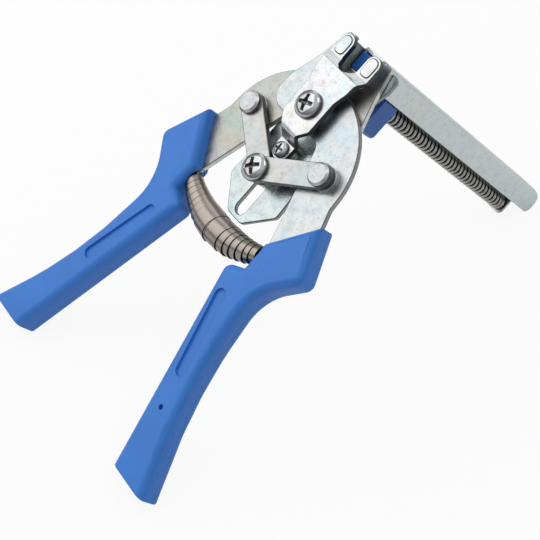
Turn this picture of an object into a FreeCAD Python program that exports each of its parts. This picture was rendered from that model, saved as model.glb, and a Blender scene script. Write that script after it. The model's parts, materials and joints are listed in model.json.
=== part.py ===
import FreeCAD, Part
import math
import os
import Sketcher
from FreeCAD import Placement, Rotation, Vector

# Hog ringer pliers with a clip magazine, in millimetres.
# Everything is drawn in the tool's own frame: the origin is on the pivot axis at the front
# face of the base plate, +X is the side of the right lever, +Y points to the jaws and +Z
# comes out of the front. The last step lays the whole tool down on its three feet.

SIZES = {
    # Stack of plates at the pivot, from the back to the front
    "plate_thickness": 2.2,
    "lever_thickness": 2.6,
    "layer_gap": 0.1,
    "cover_thickness": 2.4,
    "cover_rise": 2.5,
    "tab_height": 2.6,
    "link_thickness": 3.0,
    "link_washer_thickness": 0.8,
    # Linkage
    "rivet_across": 27.4,
    "rivet_down": 16.6,
    "link_half_width": 5.4,
    "rivet_radius": 3.0,
    "rivet_head_radius": 5.0,
    "rivet_head_height": 2.6,
    "rivet_tail_radius": 4.0,
    "rivet_tail_height": 0.8,
    "running_fit": 0.05,
    "open_fit": 0.3,
    # Pivot
    "pivot_screw_radius": 3.0,
    "pivot_bush_radius": 4.5,
    "pivot_flange_radius": 7.0,
    "screw_head_radius": 6.0,
    "screw_head_height": 3.5,
    "nut_half_width": 5.0,
    "nut_height": 4.5,
    "lock_washer_radius": 5.4,
    "lock_washer_thickness": 1.2,
    "thread_end": 0.8,
    # Slide
    "slide_screw_radius": 2.4,
    "slide_bush_radius": 3.0,
    "slide_collar_radius": 5.2,
    "slot_clearance": 0.1,
    "slot_web": 2.1,
    # Cover screw
    "cover_screw_down": 21.2,
    "cover_screw_radius": 1.9,
    "cover_screw_head_radius": 3.5,
    "cover_screw_head_height": 2.4,
    "cover_spacer_radius": 4.0,
    "cover_nut_half_width": 3.5,
    "cover_nut_height": 2.6,
    # Cover and base plate
    "cover_half_width": 9.2,
    "prong_reach": 32.2,
    "prong_outer": 13.0,
    "notch_half_width": 5.1,
    "notch_floor": 18.7,
    "pad_height": 0.4,
    "kite_half_width": 17.3,
    "kite_tip_half_width": 5.0,
    "kite_tip_height": 12.5,
    "kite_clearance": 1.0,
    "waist_half_width": 15.4,
    "waist_foot": 24.0,
    "kite_top": 33.0,
    "head_half_width": 17.8,
    # Levers, as distances from the pivot across the tool, up to the jaws or down to the grips
    "jaw_opening": 9.0,
    "jaw_reach": 32.9,
    "jaw_width": 4.6,
    "jaw_throat": 13.9,
    "lever_neck_across": 17.3,
    "lever_neck_up": 18.0,
    "lever_back_across": 22.4,
    "lever_back_up": 4.5,
    "lever_heel_across": 23.8,
    "lever_heel_down": 9.7,
    "lever_crotch_across": 12.4,
    "lever_crotch_down": 8.8,
    "lever_brow_across": 3.0,
    "lever_brow_up": 14.4,
    "lever_elbow_across": 36.2,
    "lever_elbow_up": 7.0,
    "shoulder_inset": 1.4,
    "shoulder_run": 2.7,
    "shoulder_rise": 6.6,
    "tang_inset": 3.4,
    "tang_margin": 15.2,
    "tang_width": 8.5,
    # Magazine
    "magazine_inner_half": 6.5,
    "magazine_wall": 1.5,
    "magazine_floor": 21.4,
    "magazine_top": 32.6,
    "magazine_end": 153.9,
    "magazine_end_radius": 6.5,
    "magazine_foot_radius": 3.0,
    "flange_width": 5.5,
    "bracket_setback": 11.9,
    "bracket_thickness": 1.2,
    "bracket_half_width": 4.4,
    "rod_height": 17.2,
    "rod_radius": 1.5,
    # Pusher and its spring
    "pusher_setback": 0.6,
    "pusher_length": 25.0,
    "pusher_clearance": 0.4,
    "tab_front": 15.6,
    "tab_drop": 4.4,
    "tab_half_width": 7.7,
    "pusher_spring_radius": 4.0,
    "pusher_wire": 1.3,
    "pusher_coils": 12,
    # Return spring
    "spring_arc_radius": 63.0,
    "spring_half_angle": 28.0,
    "spring_middle_radius": 6.6,
    "spring_end_radius": 4.2,
    "spring_strip": 1.0,
    "spring_turns": 7,
    "tongue_length": 6.0,
    "tongue_half_width": 2.0,
    "seat_gap": 0.3,
    # Grips; the mouth, the notch and the heel are placed from the seat of the return spring
    "grip_thickness": 13.0,
    "grip_edge_radius": 3.6,
    "grip_end_edge_radius": 0.8,
    "grip_fit": 0.05,
    "notch_step": 0.3,
    "mouth_inset": 2.4,
    "mouth_above_seat": 4.1,
    "mouth_run": 15.4,
    "mouth_rise": 20.7,
    "notch_below_seat": 8.8,
    "heel_run": 8.7,
    "heel_drop": 3.9,
    "heel_ease": 0.2,
    "guard_run": 11.4,
    "guard_drop": 21.2,
    "guard_ease": 0.9,
    "neck_inset": 14.7,
    "neck_drop": 16.5,
    "neck_radius": 25.0,
    "flare_outset": 5.4,
    "flare_drop": 45.3,
    "flare_radius": 190.0,
    "grip_end": 157.2,
    "grip_end_inner": 43.9,
    "grip_end_width": 22.7,
    "groove_half_width": 2.9,
    "groove_inset": 8.9,
    "groove_below_heel": 7.7,
    "groove_length": 39.2,
    "groove_depth": 1.2,
    "core_hole_radius": 1.2,
    "core_hole_depth": 2.0,
    "core_hole_inset": 8.5,
    "core_hole_above_end": 30.6,
}


class Size:
    """A length with its value in mm and the expression that gives it from the sheet."""

    def __init__(self, value, text):
        self.value = float(value)
        self.text = text

    def combine(self, other, sign, value):
        return Size(value, "(%s %s %s)" % (self.text, sign, size_text(other)))

    def __add__(self, other):
        return self.combine(other, "+", self.value + float(other))

    def __sub__(self, other):
        return self.combine(other, "-", self.value - float(other))

    def __mul__(self, other):
        return self.combine(other, "*", self.value * float(other))

    def __truediv__(self, other):
        return self.combine(other, "/", self.value / float(other))

    def __radd__(self, other):
        return self + other

    def __rsub__(self, other):
        return -self + other

    def __neg__(self):
        return self * -1

    def __float__(self):
        return self.value


def size_text(item):
    return item.text if isinstance(item, Size) else repr(float(item))


document = FreeCAD.newDocument("HogRingerPliers")
sheet = document.addObject("Spreadsheet::Sheet", "Sizes")
for row, (alias, number) in enumerate(SIZES.items(), start=1):
    sheet.set("A%d" % row, alias)
    sheet.set("B%d" % row, str(number))
    sheet.setAlias("B%d" % row, alias)
document.recompute()


class Sheet:
    """Reads each named size back from the spreadsheet."""

    def __getattr__(self, alias):
        return Size(sheet.get(alias), "Sizes." + alias)


s = Sheet()

# Heights of the layers above the front face of the base plate
LEFT_BACK = s.layer_gap
LEFT_FRONT = LEFT_BACK + s.lever_thickness
RIGHT_BACK = LEFT_FRONT + s.layer_gap
RIGHT_FRONT = RIGHT_BACK + s.lever_thickness
PRONG_BACK = RIGHT_FRONT + s.layer_gap
PRONG_FRONT = PRONG_BACK + s.cover_thickness
CROWN_BACK = PRONG_BACK + s.cover_rise
CROWN_FRONT = CROWN_BACK + s.cover_thickness
TAB_FRONT = s.tab_height + s.cover_thickness
LEFT_LINK_BACK = LEFT_FRONT + s.link_washer_thickness + s.layer_gap
LEFT_LINK_FRONT = LEFT_LINK_BACK + s.link_thickness
RIGHT_LINK_BACK = LEFT_LINK_FRONT + s.layer_gap
RIGHT_LINK_FRONT = RIGHT_LINK_BACK + s.link_thickness
PLATE_BACK = -s.plate_thickness
GRIP_MIDDLE = (LEFT_BACK + RIGHT_FRONT) / 2
GRIP_BACK = GRIP_MIDDLE - s.grip_thickness / 2
GRIP_FRONT = GRIP_MIDDLE + s.grip_thickness / 2
MAGAZINE_HALF = s.magazine_inner_half + s.magazine_wall
MAGAZINE_CEILING = s.magazine_top - s.magazine_wall

# The rivets stand as far from the pivot as the links are long, so the slide screw
# always stays on the middle line, at twice the drop of the rivets.
SLIDE_DOWN = s.rivet_down * 2
# The kite ends just short of the return spring, and its slot just short of the kite's tip.
KITE_END = s.spring_arc_radius - s.spring_middle_radius - s.kite_clearance
SLOT_HALF = s.slide_bush_radius + s.slot_clearance
SLOT_END = KITE_END - s.slot_web
BRACKET_DEPTH = s.magazine_end - s.bracket_setback
# The thumb groove leans a little more than the inner edge of its grip, in degrees.
GROOVE_TURN = 2.4


def rounded(points):
    """Edges of a closed polygon of (x, y, corner radius), with each corner rounded.

    Where two roundings need more than the side between them, both take their share of it.
    """
    count = len(points)
    corners = [Vector(float(x), float(y), 0) for x, y, _ in points]
    halves = []
    reaches = []
    for i, (_, _, radius) in enumerate(points):
        before = corners[i - 1] - corners[i]
        after = corners[(i + 1) % count] - corners[i]
        halves.append(before.getAngle(after) / 2)
        reaches.append(float(radius) / math.tan(halves[i]))
    shares = [1.0] * count
    for i in range(count):
        following = (i + 1) % count
        wanted = reaches[i] + reaches[following]
        share = (corners[following] - corners[i]).Length / max(wanted, 1e-6)
        shares[i] = min(shares[i], share)
        shares[following] = min(shares[following], share)
    edges = []
    ends = []
    for i, corner in enumerate(corners):
        reach = reaches[i] * shares[i]
        if reach < 1e-6 or abs(math.pi / 2 - halves[i]) < 1e-4:
            ends.append((corner, None, corner))
            continue
        before = corners[i - 1] - corner
        after = corners[(i + 1) % count] - corner
        before.normalize()
        after.normalize()
        middle_way = before + after
        middle_way.normalize()
        crown = corner + middle_way * reach * (1 - math.sin(halves[i])) / math.cos(halves[i])
        ends.append((corner + before * reach, crown, corner + after * reach))
    for i, (start, crown, stop) in enumerate(ends):
        if crown is not None:
            edges.append(Part.Arc(start, crown, stop))
        following = ends[(i + 1) % count][0]
        if (following - stop).Length > 1e-6:
            edges.append(Part.LineSegment(stop, following))
    return edges


def mirrored(points, side):
    """The same outline on the right (side 1) or the left (side -1) of the tool."""
    return [(float(x) * side, y, radius) for x, y, radius in points]


def both_sides(right_half):
    """A symmetric outline from its right half, listed from the bottom to the top."""
    left_half = [(-float(x), y, radius) for x, y, radius in reversed(right_half)]
    return right_half + left_half


class SubPart:
    """One piece of the tool: a PartDesign body whose features take their sizes from the sheet."""

    def __init__(self, name):
        self.name = name
        self.body = document.addObject("PartDesign::Body", name)
        self.body.Label = name

    def sketch(self, outlines, role="XY_Plane", height=0.0, centre=(0, 0), turn=Rotation()):
        """A sketch of closed outlines on an origin plane, moved along that plane's axes."""
        made = self.body.newObject("Sketcher::SketchObject", self.name + "_sketch")
        plane = [f for f in self.body.Origin.OriginFeatures if f.Role == role][0]
        made.AttachmentSupport = [(plane, "")]
        made.MapMode = "FlatFace"
        made.AttachmentOffset = Placement(Vector(*map(float, centre), float(height)), turn)
        if isinstance(height, Size):
            made.setExpression("AttachmentOffset.Base.z", height.text)
        for axis, place in zip("xy", centre):
            if isinstance(place, Size):
                made.setExpression("AttachmentOffset.Base." + axis, place.text)
        for outline in outlines:
            made.addGeometry(rounded(outline), False)
        return made

    def circle(self, sketch, radius, centre=(0, 0)):
        """A circle in a sketch, with its radius and its place tied to the sheet."""
        middle = Vector(float(centre[0]), float(centre[1]), 0)
        index = sketch.addGeometry(Part.Circle(middle, Vector(0, 0, 1), float(radius)), False)
        limits = [("Radius", (index,), radius)]
        limits += [("DistanceX", (-1, 1, index, 3), centre[0])]
        limits += [("DistanceY", (-1, 1, index, 3), centre[1])]
        for kind, where, amount in limits:
            number = sketch.addConstraint(Sketcher.Constraint(kind, *where, float(amount)))
            if isinstance(amount, Size):
                sketch.setExpression("Constraints[%d]" % number, amount.text)

    def feature(self, kind, sketch, length, reverse=False, both_ways=False):
        made = self.body.newObject("PartDesign::" + kind, self.name + "_" + kind.lower())
        made.Profile = sketch
        made.Length = float(length)
        if isinstance(length, Size):
            made.setExpression("Length", length.text)
        made.Reversed = reverse
        if both_ways:
            made.SideType = "Symmetric"
        sketch.Visibility = False
        return made

    def pad(self, sketch, length, **options):
        return self.feature("Pad", sketch, length, **options)

    def pocket(self, sketch, length, **options):
        return self.feature("Pocket", sketch, length, **options)

    def revolve(self, sketch):
        made = self.body.newObject("PartDesign::Revolution", self.name + "_turning")
        made.Profile = sketch
        made.ReferenceAxis = (sketch, ["V_Axis"])
        made.Angle = 360
        return made

    def dress(self, kind, wanted, amount):
        """A fillet or chamfer on the edges of the last feature that wanted(edge) picks."""
        document.recompute()
        base = self.body.Tip
        names = ["Edge%d" % n for n, edge in enumerate(base.Shape.Edges, start=1) if wanted(edge)]
        made = self.body.newObject("PartDesign::" + kind, self.name + "_" + kind.lower())
        made.Base = (base, names)
        attribute = "Radius" if kind == "Fillet" else "Size"
        made.setExpression(attribute, amount.text if isinstance(amount, Size) else repr(amount))
        return made


def flat_edges(height):
    """Picks the edges that lie at one height above the base plate."""
    level = float(height)

    def wanted(edge):
        box = edge.BoundBox
        return abs(box.ZMin - level) < 1e-4 and abs(box.ZMax - level) < 1e-4
    return wanted


def turned(name, profile, base=0.0, centre=(0.0, 0.0)):
    """A turned piece about a line parallel to Z: profile holds (radius, height, corner radius)."""
    piece = SubPart(name)
    # The XZ plane's own axes are X and Z, and it faces -Y.
    sketch = piece.sketch([profile], role="XZ_Plane", height=-centre[1], centre=(centre[0], base))
    piece.revolve(sketch)
    return piece


def tube(name, outer, inner, height, base=0.0, centre=(0.0, 0.0)):
    """A plain ring or sleeve."""
    piece = SubPart(name)
    sketch = piece.sketch([], height=base)
    piece.circle(sketch, outer, centre)
    piece.circle(sketch, inner, centre)
    piece.pad(sketch, height)
    return piece


def nut(name, half_width, bore, height, front, centre=(0.0, 0.0)):
    """A hexagon nut that hangs back from its front face."""
    piece = SubPart(name)
    corner = float(half_width) / math.cos(math.pi / 6)
    hexagon = []
    for k in range(6):
        x = float(centre[0]) + corner * math.cos(k * math.pi / 3)
        y = float(centre[1]) + corner * math.sin(k * math.pi / 3)
        hexagon.append((x, y, 0.4))
    sketch = piece.sketch([hexagon], height=front)
    piece.circle(sketch, bore, centre)
    piece.pad(sketch, height, reverse=True)
    return piece


def pan_screw(name, head_radius, head_height, shank_radius, seat, tip, centre=(0.0, 0.0)):
    """A pan head screw with a cross recess; its head stands on seat and its shank ends at tip."""
    length = seat - tip
    profile = [
        (0, -length, 0),
        (shank_radius, -length, 0),
        (shank_radius, 0, 0),
        (head_radius, 0, 0),
        (head_radius, head_height * 0.45, 0),
        (head_radius * 0.88, head_height * 0.76, 0),
        (head_radius * 0.55, head_height, 0),
        (0, head_height, 0),
    ]
    piece = turned(name, profile, base=seat, centre=centre)
    arm = float(head_radius) * 0.52
    web = float(head_radius) * 0.13
    cross = []
    for k in range(4):
        turn = k * math.pi / 2 + math.pi / 9
        for along, across in ((web, -web), (arm, -web), (arm, web)):
            x = float(centre[0]) + along * math.cos(turn) - across * math.sin(turn)
            y = float(centre[1]) + along * math.sin(turn) + across * math.cos(turn)
            cross.append((x, y, 0))
    recess = piece.sketch([cross], height=seat + head_height)
    cut = piece.pocket(recess, head_height * 0.55)
    cut.TaperAngle = -8
    return piece


def make_base_plate():
    """Back plate: a kite with the slide slot below, a head with the clip way above."""
    piece = SubPart("base_plate")
    head_foot = s.magazine_floor - 5.4
    half = [
        (s.kite_tip_half_width, -KITE_END, 3.5),
        (s.kite_half_width, -KITE_END + s.kite_tip_height, 3.0),
        (s.kite_half_width - 0.7, -s.kite_top, 5.0),
        (s.waist_half_width, -s.waist_foot, 5.0),
        (s.waist_half_width, head_foot, 5.0),
        (s.head_half_width, head_foot + 8.0, 5.0),
        (s.head_half_width, MAGAZINE_CEILING, 3.0),
        (s.magazine_inner_half, MAGAZINE_CEILING, 0),
        (s.magazine_inner_half, s.magazine_floor, 1.0),
    ]
    sketch = piece.sketch([both_sides(half)], height=PLATE_BACK)
    piece.circle(sketch, s.pivot_screw_radius + s.running_fit)
    piece.circle(sketch, s.cover_screw_radius + s.running_fit, (0, -s.cover_screw_down))
    piece.circle(sketch, s.rod_radius, (0, s.rod_height))
    piece.pad(sketch, s.plate_thickness)
    slot_top = -SLIDE_DOWN + SLOT_HALF + s.slot_clearance
    slot = [
        (SLOT_HALF, -SLOT_END, float(SLOT_HALF) * 0.999),
        (SLOT_HALF, slot_top, float(SLOT_HALF) * 0.999),
    ]
    piece.pocket(piece.sketch([both_sides(slot)]), s.plate_thickness)
    return piece


def make_front_cover():
    """Pressed cover: a raised crown, a tab stepping down to its screw and two prongs."""
    piece = SubPart("front_cover")
    depth = s.cover_thickness
    tab_end = -s.cover_screw_down - 4.4
    crown_foot = -13.2
    crown_head = s.notch_floor - 0.4
    ramp_foot = 3.8
    ramp_head = 3.4
    inner_bend = 0.8
    outer_bend = depth + inner_bend
    lag = 0.5
    side = [
        (tab_end, s.tab_height, 0),
        (crown_foot - ramp_foot + lag, s.tab_height, outer_bend),
        (crown_foot + lag, CROWN_BACK, inner_bend),
        (crown_head - lag, CROWN_BACK, inner_bend),
        (crown_head + ramp_head - lag, PRONG_BACK, outer_bend),
        (s.prong_reach, PRONG_BACK, 0),
        (s.prong_reach, PRONG_FRONT, 0),
        (crown_head + ramp_head, PRONG_BACK + depth, inner_bend),
        (crown_head, CROWN_BACK + depth, outer_bend),
        (crown_foot, CROWN_BACK + depth, outer_bend),
        (crown_foot - ramp_foot, s.tab_height + depth, inner_bend),
        (tab_end, s.tab_height + depth, 0),
    ]
    # The YZ plane's own axes are Y and Z.
    strip = piece.sketch([side], role="YZ_Plane")
    piece.pad(strip, s.prong_outer * 2, both_ways=True)
    half = [
        (4.4, tab_end, 4.2),
        (5.0, crown_foot - 2.0, 2.0),
        (5.0, crown_foot, 1.0),
        (s.cover_half_width, crown_foot + 5.0, 2.5),
        (s.cover_half_width, 7.0, 8.0),
        (s.prong_outer - 1.9, 13.0, 6.0),
        (s.prong_outer - 1.6, 17.0, 3.0),
        (s.prong_outer, 21.0, 3.0),
        (s.prong_outer, s.prong_reach, 3.7),
        (s.notch_half_width, s.prong_reach, 3.7),
        (s.notch_half_width, s.notch_floor, 4.9),
    ]
    margin = 5.0
    frame_half = s.prong_outer + margin
    frame = [(frame_half, tab_end - margin, 0), (frame_half, s.prong_reach + margin, 0)]
    trim = piece.sketch([both_sides(frame), both_sides(half)], height=CROWN_FRONT + margin)
    piece.pocket(trim, CROWN_FRONT + margin)
    holes = piece.sketch([], height=CROWN_FRONT + margin)
    piece.circle(holes, s.pivot_screw_radius + s.running_fit)
    piece.circle(holes, s.cover_screw_radius + s.running_fit, (0, -s.cover_screw_down))
    piece.pocket(holes, CROWN_FRONT + margin)
    # A coined oval pad stands on each prong.
    rim = 1.2
    inner = s.notch_half_width + rim
    outer = s.prong_outer - rim
    low = crown_head + ramp_head + 1.0
    high = s.prong_reach - rim
    pad = [(inner, low, 2.0), (outer, low, 2.0), (outer, high, 2.5), (inner, high, 2.5)]
    pads = [mirrored(pad, side_sign) for side_sign in (1, -1)]
    piece.pad(piece.sketch(pads, height=PRONG_FRONT), s.pad_height)
    return piece


def make_magazine_channel():
    """Clip channel behind the plate: an upside-down U with two welded feet."""
    piece = SubPart("magazine_channel")
    inner = s.magazine_inner_half
    bend = 1.0
    section = [
        (MAGAZINE_HALF, s.magazine_floor, 0),
        (MAGAZINE_HALF, s.magazine_top, s.magazine_wall + bend),
    ]
    hollow = [(-inner, MAGAZINE_CEILING, bend), (-inner, s.magazine_floor, 0)]
    outline = section + mirrored(section[::-1], -1) + hollow[::-1] + mirrored(hollow, -1)
    sketch = piece.sketch([outline], height=PLATE_BACK)
    piece.pad(sketch, s.magazine_end - s.plate_thickness, reverse=True)
    # The ceiling runs forward over the plate's top edge.
    lip_half = MAGAZINE_HALF - s.magazine_wall - bend
    lip = [(lip_half, MAGAZINE_CEILING, 0), (lip_half, s.magazine_top, 0)]
    piece.pad(piece.sketch([both_sides(lip)], height=PLATE_BACK), s.plate_thickness)
    # Two feet lie flat on the back of the plate.
    foot_root = MAGAZINE_HALF - s.magazine_wall / 2
    foot_end = MAGAZINE_HALF + s.flange_width
    foot_top = MAGAZINE_CEILING - 1.5
    foot = [(foot_root, s.magazine_floor, 0), (foot_end, s.magazine_floor, 2.0)]
    foot += [(foot_end, foot_top, 2.0), (foot_root, foot_top, 0)]
    feet = [mirrored(foot, side) for side in (1, -1)]
    piece.pad(piece.sketch(feet, height=PLATE_BACK), s.magazine_wall, reverse=True)
    # The far end is rounded off, as seen from the side.
    margin = 5.0
    frame = [(s.magazine_floor - margin, margin, 0), (s.magazine_top + margin, margin, 0)]
    frame += [(s.magazine_top + margin, -s.magazine_end - margin, 0)]
    frame += [(s.magazine_floor - margin, -s.magazine_end - margin, 0)]
    kept = [(s.magazine_floor - 0.01, margin - 1.0, 0), (s.magazine_top + 0.01, margin - 1.0, 0)]
    kept += [(s.magazine_top + 0.01, -s.magazine_end, s.magazine_end_radius)]
    kept += [(s.magazine_floor - 0.01, -s.magazine_end, s.magazine_foot_radius)]
    ends = piece.sketch([frame, kept], role="YZ_Plane")
    piece.pocket(ends, foot_end * 2 + margin, both_ways=True)
    return piece


def make_end_bracket():
    """Small plate across the far end of the channel; its tongue holds the rod."""
    piece = SubPart("magazine_end_bracket")
    tongue = s.bracket_half_width
    half = [
        (tongue, s.rod_height - 4.6, 2.5),
        (tongue, s.magazine_floor + 1.0, 0.5),
        (s.magazine_inner_half, s.magazine_floor + 1.0, 0),
        (s.magazine_inner_half, MAGAZINE_CEILING, 1.0),
    ]
    sketch = piece.sketch([both_sides(half)], height=-BRACKET_DEPTH)
    piece.circle(sketch, s.rod_radius, (0, s.rod_height))
    piece.pad(sketch, s.bracket_thickness, reverse=True)
    return piece


def make_guide_rod():
    """Straight rod from the plate to the bracket, below the channel."""
    piece = SubPart("spring_guide_rod")
    rod_end = BRACKET_DEPTH + s.bracket_thickness + 1.0
    sketch = piece.sketch([])
    piece.circle(sketch, s.rod_radius, (0, s.rod_height))
    piece.pad(sketch, rod_end, reverse=True)
    return piece


def make_pusher():
    """Moulded clip pusher: a nose inside the channel and a thumb tab below it."""
    piece = SubPart("pusher")
    nose_half = s.magazine_inner_half - s.pusher_clearance
    nose_floor = s.magazine_floor + s.pusher_clearance
    nose_top = MAGAZINE_CEILING - s.pusher_clearance
    back = s.pusher_setback + s.pusher_length
    shoulder = s.magazine_floor - s.pusher_clearance
    side = [
        (nose_floor, -s.pusher_setback, 1.0),
        (nose_top, -s.pusher_setback, 1.0),
        (nose_top, -back, 2.0),
        (s.tab_drop, -back, 2.0),
        (s.tab_drop, -s.tab_front, 2.5),
        (nose_floor, -s.tab_front, 1.5),
    ]
    piece.pad(piece.sketch([side], role="YZ_Plane"), nose_half * 2, both_ways=True)
    tab = [(s.tab_half_width, s.tab_drop, 2.5), (s.tab_half_width, shoulder, 0.8)]
    piece.pad(piece.sketch([both_sides(tab)], height=-s.tab_front), back - s.tab_front, reverse=True)
    bore = piece.sketch([], height=-s.tab_front)
    piece.circle(bore, s.rod_radius + s.running_fit, (0, s.rod_height))
    piece.pocket(bore, back)
    return piece


def make_pusher_spring():
    """Pusher spring on its rod, drawn as a ridge for each coil."""
    front = s.pusher_setback + s.pusher_length
    length = float(BRACKET_DEPTH - front)
    coils = int(float(s.pusher_coils))
    crest = float(s.pusher_spring_radius)
    valley = crest - float(s.pusher_wire) / 2
    pitch = length / coils
    profile = [(crest - float(s.pusher_wire), 0, 0)]
    for k in range(coils):
        profile.append((valley, pitch * k, 0))
        profile.append((crest, pitch * (k + 0.5), 0))
    profile += [(valley, length, 0), (crest - float(s.pusher_wire), length, 0)]
    centre = (Size(0, "0"), s.rod_height)
    return turned("pusher_spring", profile, base=-BRACKET_DEPTH, centre=centre)


def seat_frame():
    """Point, inward direction and outward radial of the return spring's right seat."""
    angle = math.radians(float(s.spring_half_angle)) + float(s.seat_gap / s.spring_arc_radius)
    radial = Vector(math.sin(angle), -math.cos(angle), 0)
    inward = Vector(-math.cos(angle), -math.sin(angle), 0)
    return radial * float(s.spring_arc_radius), inward, radial


def mouth_corners():
    """Inner and outer corner of the right grip's mouth, placed from the spring seat."""
    seat = seat_frame()[0]
    inner = seat + Vector(-float(s.mouth_inset), float(s.mouth_above_seat), 0)
    outer = inner + Vector(float(s.mouth_run), float(s.mouth_rise), 0)
    return inner, outer


def heel_corners():
    """The notch below the spring and the heel beside it, on the right grip."""
    inner = mouth_corners()[0]
    notch = Vector(inner.x + float(s.notch_step), seat_frame()[0].y - float(s.notch_below_seat), 0)
    heel = notch - Vector(float(s.heel_run), float(s.heel_drop), 0)
    return notch, heel


def outer_corners():
    """Guard, neck and flare of the right grip's outer edge, each placed from the one above."""
    guard = mouth_corners()[1] + Vector(float(s.guard_run), -float(s.guard_drop), 0)
    neck = guard - Vector(float(s.neck_inset), float(s.neck_drop), 0)
    flare = neck + Vector(float(s.flare_outset), -float(s.flare_drop), 0)
    return guard, neck, flare


def tang_outline(grow):
    """Tang of the right lever inside its grip, grown all round by a clearance."""
    heel = heel_corners()[1]
    guard, neck, flare = outer_corners()
    inset = float(s.tang_inset) - grow
    end_y = -float(s.grip_end - s.tang_margin) - grow
    end_x = float(s.grip_end_inner) - float(s.tang_margin) / 4 + inset * 1.2
    end_width = float(s.tang_width) + grow * 2
    return [
        (heel.x + inset * 2, heel.y - inset * 2, 8.0),
        (end_x, end_y, 3.0),
        (end_x + end_width, end_y + end_width / 4, 3.0),
        (flare.x - inset, flare.y, 60.0),
        (neck.x - inset, neck.y - inset * 2, 18.0),
        (guard.x - inset * 2, guard.y, 8.0),
    ]


def seat_outline(grow):
    """Spring seat of the right lever: a flat with a tongue that enters the spring."""
    seat, inward, radial = seat_frame()
    half = float(s.tongue_half_width) + grow
    reach = inward * float(s.tongue_length)
    stations = [(-5.2, False, 0.5), (-half, False, 0), (-half, True, 0.5)]
    stations += [(half, True, 0.5), (half, False, 0), (6.2 + grow, False, 1.5)]
    edge = []
    for along, out, radius in stations:
        place = seat + radial * along + (reach if out else Vector())
        edge.append((place.x, place.y, radius))
    return edge


def shoulder_point(grow):
    """Where the lever's outer edge comes out of the grip, just inside the mouth's outer corner."""
    outer = mouth_corners()[1]
    return (outer.x - s.shoulder_inset + grow, outer.y)


def lever_outline():
    """Right lever seen from the front: its jaw crosses to the left, its handle is on the right."""
    jaw = [
        (-s.jaw_opening, s.jaw_reach, 0.8),
        (-s.jaw_opening - s.jaw_width, s.jaw_reach - 0.6, 1.5),
        (-s.lever_neck_across, s.lever_neck_up, 25.0),
        (-s.lever_back_across, s.lever_back_up, 8.0),
        (-s.lever_heel_across, -s.lever_heel_down, 7.5),
        (s.lever_crotch_across, -s.lever_crotch_down, 5.0),
    ]
    x, y = shoulder_point(0.0)
    handle = [
        (x, y, 3.0),
        (x - s.shoulder_run, y + s.shoulder_rise, 6.0),
        (s.lever_elbow_across, s.lever_elbow_up, 35.0),
        (-s.lever_brow_across, s.lever_brow_up, 4.0),
        (-s.jaw_opening, s.jaw_reach - s.jaw_throat, 3.0),
    ]
    return jaw + seat_outline(0.0) + tang_outline(0.0) + handle


def make_lever(name, side, back):
    """A stamped lever with its pivot hole and the hole of its link rivet."""
    piece = SubPart(name)
    sketch = piece.sketch([mirrored(lever_outline(), side)], height=back)
    piece.circle(sketch, s.pivot_bush_radius + s.running_fit)
    piece.circle(sketch, s.rivet_radius, (s.rivet_across * side, -s.rivet_down))
    piece.pad(sketch, s.lever_thickness)
    return piece


def grip_outline():
    """Right grip seen from the front, from the outer corner of its mouth."""
    inner, outer = mouth_corners()
    notch, heel = heel_corners()
    guard, neck, flare = outer_corners()
    return [
        (outer.x, outer.y, 0),
        (inner.x, inner.y, 0),
        (notch.x, notch.y, 1.5),
        (heel.x, heel.y, s.grip_edge_radius + s.heel_ease),
        (s.grip_end_inner, -s.grip_end, 0),
        (s.grip_end_inner + s.grip_end_width, -s.grip_end, 0),
        (flare.x, flare.y, s.flare_radius),
        (neck.x, neck.y, s.neck_radius),
        (guard.x, guard.y, s.grip_edge_radius + s.guard_ease),
    ]


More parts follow.
